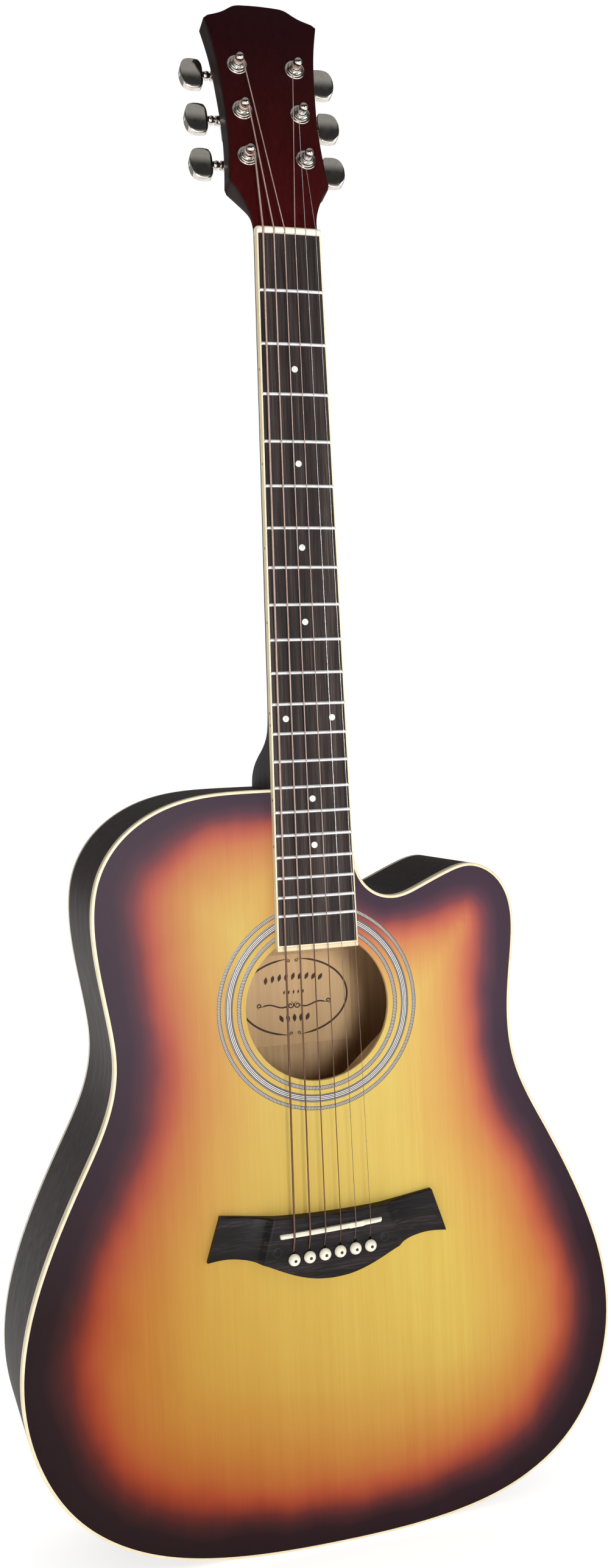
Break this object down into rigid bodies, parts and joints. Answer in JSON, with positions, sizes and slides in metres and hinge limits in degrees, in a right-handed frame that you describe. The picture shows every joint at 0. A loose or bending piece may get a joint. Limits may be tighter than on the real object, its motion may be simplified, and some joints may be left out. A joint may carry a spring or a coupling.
{
  "type": "acoustic guitar",
  "caption": "Steel-string acoustic guitar with a hollow sunburst body, one rounded cutaway, a fretted neck and geared tuners that turn.",
  "frame": {"origin": "under the middle of the overall box, level with the tail", "axes": "+Z along the neck from the tail to the headstock, +Y out of the back (the soundboard faces -Y), +X to the treble side with the cutaway"},
  "size_m": [0.4163, 0.1139, 1.044],
  "materials": {
    "sunburst_top": "satin lacquer, gold centre shading through red to near black at the edge",
    "dark_wood": "satin dark brown stain",
    "neck_wood": "satin wine red lacquer, darker towards the headstock's tip",
    "pale_wood": "bare, sanded",
    "rosewood": "oiled, open straight grain",
    "black_wood": "black stained, open grain",
    "cream_binding": "semi-gloss",
    "bone": "semi-gloss",
    "rosette": "inlaid lines, satin",
    "chrome": "polished",
    "steel": "plain drawn wire and bar",
    "bronze": "bronze wound wire"
  },
  "bodies": {
    "root": {"soundboard": "sunburst_top", "back_plate": "dark_wood", "side_bass": "dark_wood", "side_treble": "dark_wood", "top_binding": "cream_binding", "back_binding": "cream_binding", "top_lining": "pale_wood", "back_lining": "pale_wood", "neck_block": "pale_wood", "tail_block": "pale_wood", "x_brace_bass": "pale_wood", "x_brace_treble": "pale_wood", "upper_brace": "pale_wood", "bridge_plate": "pale_wood", "back_brace_upper": "pale_wood", "back_brace_lower": "pale_wood", "rosette": "rosette", "bridge": "black_wood", "saddle": "bone", "neck": "neck_wood", "truss_rod": "steel", "nut": "bone", "fingerboard": "rosewood", "fingerboard_binding": "cream_binding", "bridge_pin_low_e": "bone", "string_low_e": "bronze", "tuner_bushing_low_e": "chrome", "tuner_housing_low_e": "chrome", "bridge_pin_a": "bone", "string_a": "bronze", "tuner_bushing_a": "chrome", "tuner_housing_a": "chrome", "bridge_pin_d": "bone", "string_d": "bronze", "tuner_bushing_d": "chrome", "tuner_housing_d": "chrome", "bridge_pin_g": "bone", "string_g": "bronze", "tuner_bushing_g": "chrome", "tuner_housing_g": "chrome", "bridge_pin_b": "bone", "string_b": "steel", "tuner_bushing_b": "chrome", "tuner_housing_b": "chrome", "bridge_pin_high_e": "bone", "string_high_e": "steel", "tuner_bushing_high_e": "chrome", "tuner_housing_high_e": "chrome"},
    "button_low_e": {"tuner_button_low_e": "chrome"},
    "post_low_e": {"tuner_post_low_e": "chrome"},
    "button_a": {"tuner_button_a": "chrome"},
    "post_a": {"tuner_post_a": "chrome"},
    "button_d": {"tuner_button_d": "chrome"},
    "post_d": {"tuner_post_d": "chrome"},
    "button_g": {"tuner_button_g": "chrome"},
    "post_g": {"tuner_post_g": "chrome"},
    "button_b": {"tuner_button_b": "chrome"},
    "post_b": {"tuner_post_b": "chrome"},
    "button_high_e": {"tuner_button_high_e": "chrome"},
    "post_high_e": {"tuner_post_high_e": "chrome"}
  },
  "joints": [
    {"name": "button_low_e_turn", "type": "hinge", "parent": "root", "child": "button_low_e", "pos_m": [-0.0201, -0.00777, 0.93282], "axis": [-1, 0, 0], "continuous": true},
    {"name": "post_low_e_turn", "type": "hinge", "parent": "root", "child": "post_low_e", "pos_m": [-0.0201, -0.03016, 0.93191], "axis": [0, -0.9703, 0.2419], "continuous": true},
    {"name": "button_a_turn", "type": "hinge", "parent": "root", "child": "button_a", "pos_m": [-0.0201, 0.00045, 0.96581], "axis": [-1, 0, 0], "continuous": true},
    {"name": "post_a_turn", "type": "hinge", "parent": "root", "child": "post_a", "pos_m": [-0.0201, -0.02193, 0.9649], "axis": [0, -0.9703, 0.2419], "continuous": true},
    {"name": "button_d_turn", "type": "hinge", "parent": "root", "child": "button_d", "pos_m": [-0.0201, 0.00868, 0.9988], "axis": [-1, 0, 0], "continuous": true},
    {"name": "post_d_turn", "type": "hinge", "parent": "root", "child": "post_d", "pos_m": [-0.0201, -0.01371, 0.99789], "axis": [0, -0.9703, 0.2419], "continuous": true},
    {"name": "button_g_turn", "type": "hinge", "parent": "root", "child": "button_g", "pos_m": [0.0201, 0.00868, 0.9988], "axis": [1, 0, 0], "continuous": true},
    {"name": "post_g_turn", "type": "hinge", "parent": "root", "child": "post_g", "pos_m": [0.0201, -0.01371, 0.99789], "axis": [0, -0.9703, 0.2419], "continuous": true},
    {"name": "button_b_turn", "type": "hinge", "parent": "root", "child": "button_b", "pos_m": [0.0201, 0.00045, 0.96581], "axis": [1, 0, 0], "continuous": true},
    {"name": "post_b_turn", "type": "hinge", "parent": "root", "child": "post_b", "pos_m": [0.0201, -0.02193, 0.9649], "axis": [0, -0.9703, 0.2419], "continuous": true},
    {"name": "button_high_e_turn", "type": "hinge", "parent": "root", "child": "button_high_e", "pos_m": [0.0201, -0.00777, 0.93282], "axis": [1, 0, 0], "continuous": true},
    {"name": "post_high_e_turn", "type": "hinge", "parent": "root", "child": "post_high_e", "pos_m": [0.0201, -0.03016, 0.93191], "axis": [0, -0.9703, 0.2419], "continuous": true}
  ],
  "couplings": [
    {"joint": "post_low_e_turn", "follows": "button_low_e_turn", "ratio": 0.071429},
    {"joint": "post_a_turn", "follows": "button_a_turn", "ratio": 0.071429},
    {"joint": "post_d_turn", "follows": "button_d_turn", "ratio": 0.071429},
    {"joint": "post_g_turn", "follows": "button_g_turn", "ratio": 0.071429},
    {"joint": "post_b_turn", "follows": "button_b_turn", "ratio": 0.071429},
    {"joint": "post_high_e_turn", "follows": "button_high_e_turn", "ratio": 0.071429}
  ]
}
